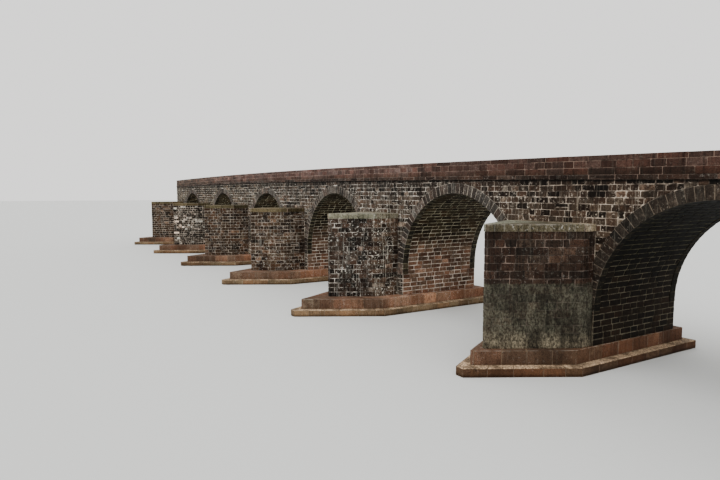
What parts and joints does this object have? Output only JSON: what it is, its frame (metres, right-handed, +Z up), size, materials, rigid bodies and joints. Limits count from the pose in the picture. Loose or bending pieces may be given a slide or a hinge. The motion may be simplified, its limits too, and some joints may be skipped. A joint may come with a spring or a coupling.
{
  "type": "stone arch bridge, 1:10 scale model",
  "caption": "Low stone road bridge on round arches, with pointed cutwaters on one side, stepped footings, a string course and solid parapets.",
  "frame": {"origin": "underside of the middle pier's footing, on the bridge's centre line", "axes": "+X along the road towards its lower end, -Y upstream towards the cutwaters, +Z up"},
  "size_m": [9.32, 1.4458, 0.993],
  "materials": {
    "footing": "smooth dressed red-brown sandstone, tan worn edges, dark wet band",
    "pier": "coursed red-brown sandstone blocks with pale mortar",
    "cutwater": "squared dark sandstone blocks, stained, pale mortar",
    "cap": "weathered pale stone slab",
    "vault": "coursed red-brown blocks with pale mortar, darker up the vault",
    "ring": "grey dressed voussoirs",
    "spandrel": "dark grey-brown squared rubble with pale mortar",
    "roadway": "plain worn grey road surface, dusty",
    "string_course": "dressed dark red sandstone",
    "parapet": "large dark maroon sandstone ashlar"
  },
  "bodies": {
    "root": {"footing_1": "footing", "footing_2": "footing", "footing_3": "footing", "footing_4": "footing", "footing_5": "footing", "footing_6": "footing", "footing_7": "footing", "pier_1": "pier", "pier_2": "pier", "pier_3": "pier", "pier_4": "pier", "pier_5": "pier", "pier_6": "pier", "pier_7": "pier", "cutwater_1": "cutwater", "cutwater_2": "cutwater", "cutwater_3": "cutwater", "cutwater_4": "cutwater", "cutwater_5": "cutwater", "cutwater_6": "cutwater", "cutwater_7": "cutwater", "cutwater_caps": "cap", "vault_1": "vault", "vault_2": "vault", "vault_3": "vault", "vault_4": "vault", "vault_5": "vault", "vault_6": "vault", "arch_rings_1": "ring", "arch_rings_2": "ring", "arch_rings_3": "ring", "arch_rings_4": "ring", "arch_rings_5": "ring", "arch_rings_6": "ring", "spandrel_1": "spandrel", "spandrel_2": "spandrel", "spandrel_3": "spandrel", "spandrel_4": "spandrel", "spandrel_5": "spandrel", "spandrel_6": "spandrel", "spandrel_7": "spandrel", "roadway": "roadway", "string_courses": "string_course", "parapet_front": "parapet", "parapet_back": "parapet"}
  },
  "joints": []
}
